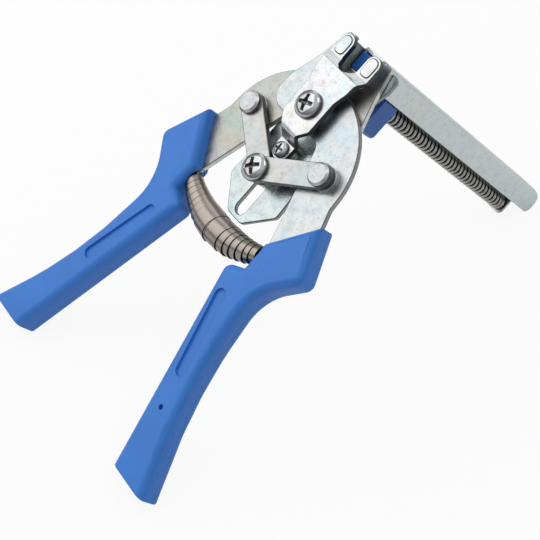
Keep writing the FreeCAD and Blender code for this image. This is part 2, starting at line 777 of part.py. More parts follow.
def make_grip(name, side, lever_back, has_core_hole):
    """A moulded grip: a rounded shell, thumb groove, lever cavity and spring pocket."""
    piece = SubPart(name)
    outline = mirrored(grip_outline(), side)
    piece.pad(piece.sketch([outline], height=GRIP_BACK), s.grip_thickness)
    end = -float(s.grip_end)

    def at_end(edge):
        return edge.BoundBox.YMax < end + 1e-4

    def rim(edge):
        level = flat_edges(GRIP_FRONT)(edge) or flat_edges(GRIP_BACK)(edge)
        return level and not at_end(edge)
    piece.dress("Fillet", rim, s.grip_edge_radius)
    piece.dress("Fillet", at_end, s.grip_end_edge_radius)
    # A long shallow groove for the thumb
    half = s.groove_half_width
    groove = [(half, -s.groove_length, float(half) * 0.99), (half, 0, float(half) * 0.99)]
    heel = heel_corners()[1]
    edge_lean = math.atan2(s.grip_end_inner - heel.x, s.grip_end + heel.y)
    lean = Rotation(Vector(0, 0, 1), (math.degrees(edge_lean) + GROOVE_TURN) * side)
    top = ((heel.x + s.groove_inset) * side, heel.y - s.groove_below_heel)
    dip = piece.sketch([both_sides(groove)], height=GRIP_FRONT, centre=top, turn=lean)
    piece.pocket(dip, s.groove_depth)
    # The cavity that the lever is moulded into, open at the mouth
    fit = float(s.grip_fit)
    inner, outer = mouth_corners()
    away = Vector(inner.y - outer.y, outer.x - inner.x, 0)
    away.normalize()
    beyond = away * float(s.grip_edge_radius)
    mouth_side = [(*shoulder_point(fit), 0)]
    mouth_side += [(outer.x + beyond.x, outer.y + beyond.y, 0)]
    mouth_side += [(inner.x + beyond.x, inner.y + beyond.y, 0)]
    cavity = seat_outline(fit) + tang_outline(fit) + mouth_side
    slit = piece.sketch([mirrored(cavity, side)], height=lever_back - fit)
    piece.pocket(slit, s.lever_thickness + s.grip_fit * 2, reverse=True)
    # The round pocket of the return spring
    seat, _, radial = seat_frame()
    radial.x *= side
    across = Rotation(radial, Vector(0, 0, 1), Vector(), "XYZ")
    axis_height = lever_back + s.lever_thickness / 2
    well = piece.sketch([], height=axis_height, centre=(seat.x * side, seat.y), turn=across)
    piece.circle(well, s.spring_end_radius + s.open_fit)
    piece.pocket(well, s.tongue_length * 3, reverse=(side > 0))
    if has_core_hole:
        core = piece.sketch([], height=GRIP_FRONT)
        inner_edge = s.grip_end_inner - s.core_hole_above_end * math.tan(edge_lean)
        hole = ((inner_edge + s.core_hole_inset) * side, s.core_hole_above_end - s.grip_end)
        piece.circle(core, s.core_hole_radius, hole)
        piece.pocket(core, s.core_hole_depth)
    return piece


def make_rivet(name, side, lever_back, link_front):
    """Link rivet: a turned tail behind the lever, a shank and a flat bevelled head."""
    tail = s.rivet_tail_height
    body = link_front + s.layer_gap - lever_back
    head = s.rivet_head_height
    profile = [
        (0, -tail, 0),
        (s.rivet_tail_radius - 0.6, -tail, 0),
        (s.rivet_tail_radius, -tail + 0.5, 0),
        (s.rivet_tail_radius, 0, 0),
        (s.rivet_radius, 0, 0),
        (s.rivet_radius, body, 0),
        (s.rivet_head_radius, body, 0),
        (s.rivet_head_radius, body + head * 0.6, 0),
        (s.rivet_head_radius - 0.9, body + head, 0),
        (0, body + head, 0),
    ]
    return turned(name, profile, base=lever_back, centre=(s.rivet_across * side, -s.rivet_down))


def make_link(name, side, back, slide_bore):
    """A flat link from its rivet to the slide screw on the middle line."""
    piece = SubPart(name)
    rivet = Vector(float(s.rivet_across) * side, -float(s.rivet_down), 0)
    slide = Vector(0, -float(SLIDE_DOWN), 0)
    along = rivet - slide
    along.normalize()
    across = Vector(-along.y, along.x, 0)
    half = float(s.link_half_width)
    corners = []
    for centre, end in ((slide, -1), (rivet, 1)):
        for width in (end, -end):
            place = centre + along * half * end + across * half * width
            corners.append((place.x, place.y, half * 0.99))
    sketch = piece.sketch([corners], height=back)
    piece.circle(sketch, s.rivet_radius + s.running_fit, (s.rivet_across * side, -s.rivet_down))
    piece.circle(sketch, slide_bore, (0, -SLIDE_DOWN))
    piece.pad(sketch, s.link_thickness)
    return piece


def make_slide_bush():
    """Bush of the slide screw: a sleeve in the slot and a collar on the front of the plate."""
    top = RIGHT_LINK_BACK
    foot = PLATE_BACK - s.layer_gap
    collar_back = s.layer_gap
    collar_front = LEFT_LINK_BACK - s.layer_gap
    profile = [
        (s.slide_screw_radius, foot, 0),
        (s.slide_bush_radius, foot, 0),
        (s.slide_bush_radius, collar_back, 0),
        (s.slide_collar_radius, collar_back, 0),
        (s.slide_collar_radius, collar_front, 0),
        (s.slide_bush_radius, collar_front, 0),
        (s.slide_bush_radius, top, 0),
        (s.slide_screw_radius, top, 0),
    ]
    return turned("slide_bush", profile, centre=(Size(0, "0"), -SLIDE_DOWN))


def make_pivot_bush():
    """Bush that the levers turn on, with a flange that carries the crown of the cover."""
    flange = RIGHT_FRONT + s.layer_gap
    profile = [
        (s.pivot_screw_radius, 0, 0),
        (s.pivot_bush_radius, 0, 0),
        (s.pivot_bush_radius, flange, 0),
        (s.pivot_flange_radius, flange, 0),
        (s.pivot_flange_radius, CROWN_BACK, 0),
        (s.pivot_screw_radius, CROWN_BACK, 0),
    ]
    return turned("pivot_bush", profile)


def spring_turn_radii():
    """Radius of each turn of the return spring, from its seat to the middle."""
    turns = int(float(s.spring_turns))
    grow = float(s.spring_middle_radius - s.spring_end_radius) / (turns - 1)
    return [float(s.spring_end_radius) + grow * k for k in range(turns)]


def spring_stack(name, side, middle, inset):
    """The turns of one half as short drums along the arc, each made smaller by inset."""
    arc = float(s.spring_arc_radius)
    radii = spring_turn_radii()
    half_angle = math.radians(float(s.spring_half_angle))
    # The drums meet past their chord, so that the outer side of the bend stays closed. The
    # first stays clear of the seat on its inner side, and the last reaches the middle plane.
    last = half_angle / len(radii) / 2
    reach = math.tan(last)
    first = half_angle - math.atan((arc + radii[0]) * reach / (arc - radii[0]))
    step = (first - last) / (len(radii) - 1)
    drums = []
    for k, radius in enumerate(radii):
        angle = (first - step * k) * side
        drum = document.addObject("Part::Cylinder", name + "_turn")
        drum.Radius = radius - inset
        drum.Height = 2 * (arc + radius) * reach
        along = Vector(math.cos(angle), math.sin(angle), 0) * side
        place = Vector(arc * math.sin(angle), -arc * math.cos(angle), float(middle))
        place -= along * float(drum.Height) / 2
        drum.Placement = Placement(place, Rotation(Vector(0, 0, 1), along))
        drums.append(drum)
    return drums


def beyond_middle(name, side, middle):
    """Block on the far side of the middle plane, where the other half of the spring lies."""
    half = float(s.spring_middle_radius) * 2
    block = document.addObject("Part::Box", name + "_trim")
    block.Length = half
    block.Width = half * 2
    block.Height = half * 2
    start = float(s.seat_gap) / 2 - (half if side > 0 else float(s.seat_gap))
    block.Placement.Base = Vector(start, -float(s.spring_arc_radius) - half, float(middle) - half)
    return block


def make_return_spring(name, side, lever_back):
    """Half of the return spring: turns that widen from its seat to the middle, bent in an arc."""
    middle = lever_back + s.lever_thickness / 2
    coils = document.addObject("Part::MultiFuse", name + "_coils")
    coils.Shapes = spring_stack(name, side, middle, 0.0)
    inside = document.addObject("Part::MultiFuse", name + "_inside")
    bore = spring_stack(name + "_bore", side, middle, float(s.spring_strip))
    inside.Shapes = bore + [beyond_middle(name, side, middle)]
    cut = document.addObject("Part::Cut", name)
    cut.Base = coils
    cut.Tool = inside
    cut.Label = name
    return cut


def failed_objects():
    """Names of the objects that the last recompute left in error."""
    return [item.Name for item in document.Objects if {"Invalid", "Error"} & set(item.State)]


def floor_tilt():
    """Angle about X that rests the grip ends and the far end of the magazine on one floor."""
    grip_round = float(s.grip_end_edge_radius)
    grip_y = -float(s.grip_end) + grip_round
    grip_z = float(GRIP_BACK) + grip_round
    foot_round = float(s.magazine_foot_radius)
    foot_y = float(s.magazine_floor) + foot_round
    foot_z = -float(s.magazine_end) + foot_round
    run = foot_y - grip_y
    drop = grip_z - foot_z
    return math.atan2(drop, run) - math.asin((grip_round - foot_round) / math.hypot(run, drop))


zero = Size(0, "0")
slide_centre = (zero, -SLIDE_DOWN)
cover_centre = (zero, -s.cover_screw_down)
pivot_nut_front = PLATE_BACK - s.lock_washer_thickness
slide_washer_front = PLATE_BACK - s.layer_gap
slide_nut_front = slide_washer_front - s.lock_washer_thickness
screw_end = s.nut_height + s.thread_end

pieces = [make_base_plate(), make_front_cover(), make_magazine_channel(), make_end_bracket()]
pieces += [make_guide_rod(), make_pivot_bush(), make_pusher(), make_pusher_spring()]
pieces.append(pan_screw("pivot_screw", s.screw_head_radius, s.screw_head_height,
                        s.pivot_screw_radius, CROWN_FRONT, pivot_nut_front - screw_end, (zero, zero)))
pieces.append(tube("pivot_washer", s.lock_washer_radius, s.pivot_screw_radius,
                   s.lock_washer_thickness, pivot_nut_front, (zero, zero)))
pieces.append(nut("pivot_nut", s.nut_half_width, s.pivot_screw_radius, s.nut_height,
                  pivot_nut_front, (zero, zero)))
pieces.append(pan_screw("cover_screw", s.cover_screw_head_radius, s.cover_screw_head_height,
                        s.cover_screw_radius, TAB_FRONT,
                        PLATE_BACK - s.cover_nut_height - s.thread_end, cover_centre))
pieces.append(tube("cover_spacer", s.cover_spacer_radius, s.cover_screw_radius, s.tab_height,
                   zero, cover_centre))
pieces.append(nut("cover_nut", s.cover_nut_half_width, s.cover_screw_radius, s.cover_nut_height,
                  PLATE_BACK, cover_centre))
for hand, side, lever_back, lever_front, link_back, slide_bore in (
        ("left", -1, LEFT_BACK, LEFT_FRONT, LEFT_LINK_BACK, s.slide_bush_radius + s.open_fit),
        ("right", 1, RIGHT_BACK, RIGHT_FRONT, RIGHT_LINK_BACK, s.slide_screw_radius)):
    rivet_centre = (s.rivet_across * side, -s.rivet_down)
    pieces.append(make_lever(hand + "_lever", side, lever_back))
    pieces.append(make_grip(hand + "_grip", side, lever_back, side > 0))
    pieces.append(make_rivet(hand + "_rivet", side, lever_back, link_back + s.link_thickness))
    pieces.append(tube(hand + "_rivet_washer", s.link_half_width, s.rivet_radius,
                       link_back - s.layer_gap - lever_front, lever_front, rivet_centre))
    pieces.append(make_link(hand + "_link", side, link_back, slide_bore))
pieces.append(pan_screw("link_screw", s.screw_head_radius, s.screw_head_height,
                        s.slide_screw_radius, RIGHT_LINK_FRONT, slide_nut_front - screw_end,
                        slide_centre))
pieces.append(make_slide_bush())
pieces.append(tube("link_washer", s.lock_washer_radius, s.slide_screw_radius,
                   s.lock_washer_thickness, slide_nut_front, slide_centre))
pieces.append(nut("link_nut", s.nut_half_width, s.slide_screw_radius, s.nut_height,
                  slide_nut_front, slide_centre))
finished = [piece.body for piece in pieces]
finished.append(make_return_spring("return_spring_left", -1, LEFT_BACK))
finished.append(make_return_spring("return_spring_right", 1, RIGHT_BACK))
document.recompute()

# Lay the tool on its feet and put the origin under the middle of its box.
tilt = floor_tilt()
lay = Rotation(Vector(1, 0, 0), math.degrees(tilt))
for item in finished:
    item.Placement = Placement(Vector(), lay)
document.recompute()
box = Part.makeCompound([item.Shape for item in finished]).optimalBoundingBox(False)
shift = Vector(-(box.XMin + box.XMax) / 2, -(box.YMin + box.YMax) / 2, -box.ZMin)
for item in finished:
    item.Placement = Placement(shift, lay)
document.recompute()

assert not failed_objects(), failed_objects()
for item in finished:
    assert not item.Shape.isNull() and item.Shape.isValid(), item.Label
os.makedirs("parts", exist_ok=True)
for item in finished:
    item.Shape.exportStep("parts/%s.step" % item.Label)
    print(item.Label, len(item.Shape.Solids), round(item.Shape.Volume, 1))
print("tilt", round(math.degrees(tilt), 4), "shift", [round(part, 4) for part in shift])
print("box", [round(side, 2) for side in (box.XLength, box.YLength, box.ZLength)])
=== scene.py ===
# %% [markdown]
# # Hog ringer pliers, dressed in Blender
# The pliers close small wire clips round two wires. Two zinc-plated levers cross under a
# pressed cover, two flat links steer them, a double cone spring opens them again, and a
# channel at the back feeds the clips, pushed by a blue slider with a long coil spring.
# The solids come from the construction model. This script gives every surface its finish
# and makes the pieces that are too fine for the solids: the two springs, whose turns show,
# and the three screws with their cross recesses and threads.

# %% Load the construction model
import json
import math

import bmesh
import bpy
import numpy as np
from mathutils import Matrix, Vector

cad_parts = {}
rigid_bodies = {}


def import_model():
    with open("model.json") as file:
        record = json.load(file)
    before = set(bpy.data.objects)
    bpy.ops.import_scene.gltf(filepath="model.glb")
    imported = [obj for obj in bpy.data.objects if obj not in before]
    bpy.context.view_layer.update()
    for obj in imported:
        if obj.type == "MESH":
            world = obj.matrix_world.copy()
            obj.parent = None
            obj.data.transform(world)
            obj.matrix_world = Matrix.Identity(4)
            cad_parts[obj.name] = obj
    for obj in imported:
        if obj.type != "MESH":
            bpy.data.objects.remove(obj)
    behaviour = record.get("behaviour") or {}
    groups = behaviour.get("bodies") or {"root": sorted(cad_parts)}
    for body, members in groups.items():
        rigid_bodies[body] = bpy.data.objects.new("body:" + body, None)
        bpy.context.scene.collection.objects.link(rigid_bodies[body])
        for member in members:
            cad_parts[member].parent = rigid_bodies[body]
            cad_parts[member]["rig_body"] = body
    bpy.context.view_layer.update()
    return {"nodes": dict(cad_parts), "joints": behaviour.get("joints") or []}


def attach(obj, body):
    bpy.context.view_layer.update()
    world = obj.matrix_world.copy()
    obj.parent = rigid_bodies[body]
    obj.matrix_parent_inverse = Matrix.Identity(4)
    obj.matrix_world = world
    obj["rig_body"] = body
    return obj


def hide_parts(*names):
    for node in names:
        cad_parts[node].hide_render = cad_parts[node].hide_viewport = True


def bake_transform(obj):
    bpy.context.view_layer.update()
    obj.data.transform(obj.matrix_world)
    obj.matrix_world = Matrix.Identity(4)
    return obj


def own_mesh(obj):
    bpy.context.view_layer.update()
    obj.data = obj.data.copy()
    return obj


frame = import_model()

# %% [markdown]
# ## One frame for the whole tool
# The tool lies tilted on its feet, which makes plain work awkward. So every new piece is
# drawn in the tool's own frame, in millimetres: the origin on the pivot axis at the front
# of the base plate, X to the side of the right lever, Y to the prongs and Z out of the
# front. The pivot's place and direction come from the right lever's joint.

# %% The tool's own frame
MM = 0.001
joints = {joint["name"]: joint for joint in frame["joints"]}
pivot = np.array(joints["right_lever"]["pos_m"])
across = np.array([1.0, 0.0, 0.0])
outward = -np.array(joints["right_lever"]["axis"], float)
outward /= np.linalg.norm(outward)
forward = np.cross(outward, across)
tool_axes = np.array([across, forward, outward])


def to_row(points):
    """Tool millimetres to row metres: pivot + x * across + y * forward + z * outward."""
    return pivot + np.asarray(points, float) @ tool_axes * MM


def to_tool(points):
    """Row metres back to tool millimetres."""
    return (np.asarray(points, float) - pivot) @ tool_axes.T / MM


def direction(vector):
    """A direction of the tool's frame, turned into the row's frame."""
    return Vector(np.asarray(vector, float) @ tool_axes)


def span(node):
    """Lowest and highest corner of a construction node, in tool millimetres."""
    vertices = frame["nodes"][node].data.vertices
    flat = np.empty(len(vertices) * 3)
    vertices.foreach_get("co", flat)
    points = to_tool(flat.reshape(-1, 3))
    return points.min(axis=0), points.max(axis=0)


print("tilt of the tool: %.1f degrees" % math.degrees(math.acos(outward[2])))

# %% [markdown]
# ## Camera
# The photograph was taken from the upper right, in front of the tool, with a long lens.
# The eye, the point it looks at and the upward direction were worked out from the round
# parts and the square channel, so the camera is placed once and isn't nudged afterwards.

# %% Camera
EYE = (400.6, 42.5, 486.7)
AIM = (24.4, -60.8, -10.5)
TOP = (-0.6028, 0.7382, 0.3027)
LENS = 103.52
SENSOR = 36.0
NEAREST = 0.01

camera_data = bpy.data.cameras.new("camera")
camera_data.lens = LENS
camera_data.sensor_width = SENSOR
camera_data.clip_start = NEAREST
camera = bpy.data.objects.new("camera", camera_data)
bpy.context.scene.collection.objects.link(camera)
look_back = (Vector(to_row(EYE)) - Vector(to_row(AIM))).normalized()
look_right = direction(TOP).cross(look_back).normalized()
look_up = look_back.cross(look_right)
camera.matrix_world = Matrix.Translation(Vector(to_row(EYE))) @ Matrix(
    (look_right, look_up, look_back)).transposed().to_4x4()
bpy.context.scene.camera = camera
print("camera at", tuple(round(v, 3) for v in camera.location))

# %% [markdown]
# ## Arithmetic on shader sockets
# A finish is a web of nodes. Wired by hand, one Math node after the other, it hides what
# it says. So a Wire wraps one socket and is added, subtracted and multiplied like a
# number, and each operation lays its own Math node. Numbers alone are worked out in Python.


# %% Wire
class Wire:
    """A shader socket that arithmetic works on; each operation adds one Math node."""

    def __init__(self, web, socket):
        self.web = web
        self.socket = socket

    def math(self, operation, first, second=0.0):
        """One Math node; it gives first, the operation, second."""
        return self.web.node("ShaderNodeMath", {"operation": operation}, {0: first, 1: second})

    def __add__(self, other):
        return self.math("ADD", self, other)

    __radd__ = __add__

    def __sub__(self, other):
        return self.math("SUBTRACT", self, other)

    def __rsub__(self, other):
        return self.math("SUBTRACT", other, self)

    def __mul__(self, other):
        return self.math("MULTIPLY", self, other)

    __rmul__ = __mul__

    def __abs__(self):
        return self.math("ABSOLUTE", self)


print("a wire can be added, subtracted, multiplied and made positive")

# %% [markdown]
# ## A web of nodes
# Every other node comes from one method, which takes its type, its settings and then its
# sockets, as fixed values or as wires. The same web serves the finishes, the floor and the
# sky. Colours go through a Mix node, because a Math node would turn them grey.


# %% Web
class Web:
    """The node tree of a material or of the world."""

    def __init__(self, tree):
        self.tree = tree

    def node(self, kind, settings=None, sockets=None, out=0):
        """A node of that kind: settings first, then socket values or wires; gives one output."""
        made = self.tree.nodes.new(kind)
        for key, value in (settings or {}).items():
            if key == "stops":
                ramp = made.color_ramp
                while len(ramp.elements) < len(value):
                    ramp.elements.new(0.5)
                for element, (place, level) in zip(ramp.elements, value):
                    element.position = place
                    element.color = (level, level, level, 1)
            else:
                setattr(made, key, value)
        for key, value in (sockets or {}).items():
            if isinstance(value, Wire):
                self.tree.links.new(value.socket, made.inputs[key])
            else:
                made.inputs[key].default_value = value
        return Wire(self, made.outputs[out])

    def ramp(self, value, *stops):
        """Grey level from a value; each stop is a place and its level."""
        return self.node("ShaderNodeValToRGB", {"stops": stops}, {0: value})

    def mix(self, share, first, second):
        """Colour between first and second."""
        return self.node("ShaderNodeMix", {"data_type": "RGBA"}, {0: share, 6: first, 7: second}, out=2)

    def seen(self, by_camera, in_mirrors):
        """Share of plain white: by_camera where the camera looks, in_mirrors in metal and glass."""
        rays = self.node("ShaderNodeLightPath").socket.node.outputs
        mirrored = Wire(self, rays["Is Glossy Ray"]) + Wire(self, rays["Is Transmission Ray"])
        return by_camera * Wire(self, rays["Is Camera Ray"]) + in_mirrors * mirrored

    def output(self, name, shader):
        """Joins a shader to the web's output node."""
        self.tree.links.new(shader.socket, self.tree.nodes[name].inputs["Surface"])


print("what a web makes:", [name for name in vars(Web) if name[0] != "_"])

# %% [markdown]
# ## A finish
# A finish is the web of one material. What is the same all over the surface is set on the
# shader's own socket, and only what varies is wired. All patterns read the piece's own
# coordinates, in metres, so they stay on the steel when the tool moves or the camera does.


# %% Finish
class Finish(Web):
    """One material: its Principled shader takes fixed numbers, and wires only where they vary."""

    def __init__(self, name, **fixed):
        self.material = bpy.data.materials.new(name)
        self.material.use_nodes = True
        super().__init__(self.material.node_tree)
        self.shader = self.tree.nodes["Principled BSDF"]
        for socket, value in fixed.items():
            self.shader.inputs[socket.replace("_", " ")].default_value = value

    def place(self, stretch=(1, 1, 1)):
        """Object coordinates in metres, stretched along the row's axes."""
        where = self.node("ShaderNodeTexCoord", out=3)
        return self.node("ShaderNodeMapping", {}, {"Vector": where, "Scale": stretch})

    def noise(self, where, scale, detail, rough, distortion=0.0):
        """Smooth noise of about 1 / scale metres, from 0 to 1."""
        return self.node("ShaderNodeTexNoise", {}, {
            "Vector": where, "Scale": scale, "Detail": detail, "Roughness": rough,
            "Distortion": distortion})

    def feed(self, socket, wire):
        """Wires what varies over the surface into one of the shader's sockets."""
        self.tree.links.new(wire.socket, self.shader.inputs[socket])

    def bump(self, height, strength, depth):
        """Raises the surface by height times depth metres."""
        relief = self.node("ShaderNodeBump", {}, {
            "Height": height, "Strength": strength, "Distance": depth})
        self.feed("Normal", relief)


def shade(colour, factor, lift=0.0):
    """A colour times factor plus lift, at most 1, with its alpha."""
    return tuple(min(1.0, level * factor + lift) for level in colour) + (1,)


print("what a finish adds:", [name for name in vars(Finish) if name[0] != "_"])

# %% [markdown]
# ## Zinc plate
# The levers, links, plates and nuts are steel with a bright zinc plate. It isn't one grey:
# the bath leaves a cloudy grain, the wash after it a breath of blue and yellow in broad
# bands, and use leaves dark specks and a few dents. A picture wrapped round each piece
# would smear and repeat. Three noises in the piece's own coordinates have no seam, and one
# function then serves every plate.

# %% Zinc plate
GRAIN_SCALE = 240.0
SPECK_SCALE = 1300.0
BLUER = (0.86, 0.98, 1.01)
YELLOWER = (1.04, 1.0, 0.92)
CLOUD_SHADE = 0.72
SPECK_SHADE = 0.28
DENT_DEPTH = 5.0
RAGGED = 1.6


def zinc_plate(name, bright, tint=(0.95, 0.99, 1.0), rough=0.30, cloud=0.8, band_scale=48.0, dents=()):
    """Bright zinc plate: cloudy grain, faint yellow and blue bands, dark specks and small dents.

    Colour = bright * tint, shifted where the bands run low or high, darker in clouds and
    specks. Roughness = rough + 0.2 * (grain - 0.5) + 0.1 * (bands - 0.5). Height = specks +
    0.8 * grain - depth of the dents. A dent is a point in tool mm and a radius in mm, and the
    grain makes its border ragged."""
    finish = Finish(name, Metallic=1.0)
    where = finish.place()
    grain = finish.noise(where, GRAIN_SCALE, 4.0, 0.65)
    bands = finish.noise(where, band_scale, 2.0, 0.5, 1.4)
    specks = finish.noise(where, SPECK_SCALE, 2.0, 0.5)
    blue, yellow = (shade(np.multiply(tint, shift).tolist(), bright) for shift in (BLUER, YELLOWER))
    tinted = finish.mix(finish.ramp(bands, (0.36, 0.0), (0.46, 1.0)), blue, shade(tint, bright))
    tinted = finish.mix(finish.ramp(bands, (0.56, 0.0), (0.70, 1.0)), tinted, yellow)
    in_cloud = finish.ramp(grain, (0.34, cloud), (0.56, 0.0))
    clouded = finish.mix(in_cloud, tinted, shade(tint, bright * CLOUD_SHADE))
    in_speck = finish.ramp(specks, (0.675, 0.0), (0.715, 0.85))
    finish.feed("Base Color", finish.mix(in_speck, clouded, shade(tint, bright * SPECK_SHADE)))
    finish.feed("Roughness", rough + 0.20 * (grain - 0.5) + 0.10 * (bands - 0.5))
    relief = specks + 0.8 * grain
    for point, radius in dents:
        away = finish.node("ShaderNodeVectorMath", {"operation": "DISTANCE"},
                           {0: where, 1: tuple(to_row(point))}, out=1)
        share = away * (1 / (radius * MM)) + RAGGED * (grain - 0.5)
        relief = relief - DENT_DEPTH * finish.ramp(share, (0.0, 1.0), (1.0, 0.0))
    finish.bump(relief, 0.40, 0.00010)
    return finish.material


ZINC = zinc_plate("zinc_plate", 0.55)
print("zinc plate:", len(ZINC.node_tree.nodes), "nodes")

# %% [markdown]
# ## Plates from different baths, with painted light and shade
# Each piece was plated with its own batch. The cover is bright, partly as a painted
# highlight, the kite a little blue and green, the links duller and the left lever yellow and
# dull, partly as painted shade. The channel is the brightest and has only faint clouds in
# broad bands, and three small dents. A sheared edge is darker than its face, partly of its
# own and partly as painted shade, apart from the left lever's, which is brighter as a painted
# highlight. The rim between the two is painted dark, a painted dark reflection, which draws
# the thin line round each plate.

# %% The plates' own finishes
COOL = (0.97, 0.98, 1.0)
WARM = (0.99, 1.0, 0.93)
CHANNEL_DENTS = (((8.0, 25.4, -19.2), 1.6), ((8.0, 24.9, -43.0), 1.3), ((8.0, 20.5, -31.0), 0.9))
# The cover's brightness is partly a painted highlight.
ZINC_COVER = zinc_plate("zinc_cover", 0.62, (0.98, 0.99, 1.0), 0.27)
ZINC_KITE = zinc_plate("zinc_kite", 0.555, (0.90, 1.0, 1.0), 0.27)
ZINC_LINK = zinc_plate("zinc_link", 0.49, (0.99, 0.99, 0.97), 0.34)
# The left lever's low brightness is partly painted shade; its yellow tint is its own.
ZINC_WARM = zinc_plate("zinc_warm", 0.41, WARM, 0.32)
ZINC_CHANNEL = zinc_plate("zinc_channel", 0.67, (0.91, 0.99, 1.01), 0.30, 0.40, 20.0, CHANNEL_DENTS)
# Sheared edges: darker partly of their own and partly as painted shade.
ZINC_EDGE_AND_SHADE = zinc_plate("zinc_edge_and_shade", 0.31, COOL, 0.36)
# The left lever's sheared edges are made bright as a painted highlight.
WARM_EDGE_HIGHLIGHT = zinc_plate("warm_edge_highlight", 0.72, WARM, 0.34)
# The cover's and links' sheared edges are nearly black, partly of their own and partly as painted dark
# reflection and shadow.
COVER_EDGE_AND_SHADE = zinc_plate("cover_edge_and_shade", 0.11, COOL, 0.36)
# The rims of the plates and the sides of the rivets are painted dark, as painted dark reflection and
# shade.
RIM_PAINTED_SHADE = zinc_plate("rim_painted_shade", 0.18, COOL, 0.36)
ZINC_RIVET = zinc_plate("zinc_rivet", 0.54, (0.97, 0.99, 1.0), 0.38)
print("plated finishes:", [material.name for material in bpy.data.materials if "zinc" in material.name])

# %% [markdown]
# ## Bare and bright steel
# The screws are polished and plated, so they mirror the room and need hardly any pattern,
# only a haze that breaks the mirror up. The strip of the return spring is nickel coloured
# and stained with a few brown blotches, and the wire of the long spring is grey under an
# oily film. As painted shade the same steel is nearly black in the screws' recesses and under
# their heads, on the inner side of the long spring's wire and where the strip's turns meet,
# whose cut edges are also dark of their own. The long spring's rod is nearly black too. All
# of them are one haze with other numbers.


# %% Steel finishes
def hazy_steel(name, scale, low, high, rough, haze_rough, detail=3.0, blotches=None, relief=0.0):
    """Steel under a haze: colour = low + haze * (high - low), roughness = rough + haze_rough * haze.

    Blotches are a scale in 1 / m and a colour, laid where a second noise runs high. Relief is
    the strength of the haze as a bump."""
    finish = Finish(name, Metallic=1.0)
    where = finish.place()
    haze = finish.noise(where, scale, detail, 0.6)
    steel = finish.mix(haze, low + (1,), high + (1,))
    if blotches:
        stain_scale, stain = blotches
        stained = finish.ramp(finish.noise(where, stain_scale, 2.0, 0.5), (0.66, 0.0), (0.72, 0.6))
        steel = finish.mix(stained, steel, stain + (1,))
    finish.feed("Base Color", steel)
    finish.feed("Roughness", rough + haze_rough * haze)
    if relief:
        finish.bump(haze, relief, 0.00004)
    return finish.material


# Dark steel serves for painted shade in recesses and between turns, for the strip's dark cut edges and
# for the rod.
def dark_steel(name, low, high):
    """Grey steel between two low levels, for what plating and light don't reach."""
    return hazy_steel(name, 900.0, (low,) * 3, (high,) * 3, 0.40, 0.2, detail=2.0)


BRIGHT = hazy_steel("bright_steel", 700.0, (0.36, 0.37, 0.38), (0.54, 0.55, 0.56), 0.06, 0.12, relief=0.2)
SPRING = hazy_steel("spring_steel", 500.0, (0.275, 0.245, 0.22), (0.355, 0.315, 0.28), 0.22, 0.08,
                    blotches=(120.0, (0.22, 0.17, 0.12)))
# Nearly black on the strip's cut edges, partly their own colour and partly painted shadow, on the strip's
# painted shadow band, and as painted shade on the inner side of the coil's wire.
SPRING_EDGE_AND_SHADE = dark_steel("spring_edge_and_shade", 0.009, 0.040)
# Painted shade in the screws' recesses and under their heads.
RECESS_SHADE = dark_steel("screw_recess_shade", 0.05, 0.22)
# The rod is nearly black, which darkens the gaps between the coil's turns.
BLACK_ROD = dark_steel("black_rod", 0.02, 0.07)
COIL = hazy_steel("coil_steel", 420.0, (0.34, 0.34, 0.31), (0.52, 0.52, 0.48), 0.26, 0.12)
print("steel finishes:", [steel.name for steel in (BRIGHT, SPRING, SPRING_EDGE_AND_SHADE, RECESS_SHADE, BLACK_ROD, COIL)])

# %% [markdown]
# ## Moulded plastic
# The grips and the pusher are blue plastic. A plain colour looks like a drawing, so the
# real flaws are added: the colour is a little cloudy, hands leave pale scuffs that run
# along the grip, the mould has a fine texture, and where its two halves met a thin parting
# line goes round the grip, which is a band of the height above the plates.

# %% Moulded plastic
CLOUD_SCALE = 40.0
TEXTURE_SCALE = 1800.0
SCUFF_SCALE = 420.0
ALONG_GRIP = (1.0, 0.35, 0.5)
LINE_HEIGHT = 3.0


def moulded_plastic(name, colour, rough, grain, seam=None):
    """Moulded plastic: one colour, cloudy and a little scuffed, with a fine texture and a parting line.

    Colour = 0.86 to 1.14 times its own, and paler in the scuffs and on the line. Roughness =
    rough + 0.12 * (clouds - 0.5) + 0.14 * (scuffs - 0.5). The line is where |height above the
    base plate - seam| is under a third of a millimetre."""
    finish = Finish(name, Specular_IOR_Level=0.45)
    where = finish.place()
    cloud = finish.noise(where, CLOUD_SCALE, 2.0, 0.5)
    fine = finish.noise(where, TEXTURE_SCALE, 2.0, 0.6)
    scuffs = finish.noise(finish.place(ALONG_GRIP), SCUFF_SCALE, 5.0, 0.7, 0.6)
    base = finish.mix(cloud, shade(colour, 0.86), shade(colour, 1.14, 0.004))
    base = finish.mix(finish.ramp(scuffs, (0.62, 0.0), (0.74, 0.55)), base, shade(colour, 1.25, 0.05))
    relief = fine
    if seam is not None:
        level = finish.node("ShaderNodeVectorMath", {"operation": "DOT_PRODUCT"},
                            {0: where, 1: tuple(outward)}, out=1)
        away = abs(level - float(pivot @ outward + seam * MM))
        line = finish.ramp(away * (1 / MM), (0.10, 1.0), (0.30, 0.0))
        base = finish.mix(line * 0.35, base, shade(colour, 1.5, 0.03))
        relief = fine + LINE_HEIGHT * line
    finish.feed("Base Color", base)
    finish.feed("Roughness", rough + 0.12 * (cloud - 0.5) + 0.14 * (scuffs - 0.5))
    finish.bump(relief, grain, 0.00006)
    return finish.material


GRIP_BLUE = moulded_plastic("grip_plastic", (0.034, 0.194, 0.64), 0.46, 0.3, seam=2.7)
PUSHER_BLUE = moulded_plastic("pusher_plastic", (0.022, 0.125, 0.44), 0.30, 0.15)
print("finishes in all:", len(bpy.data.materials))

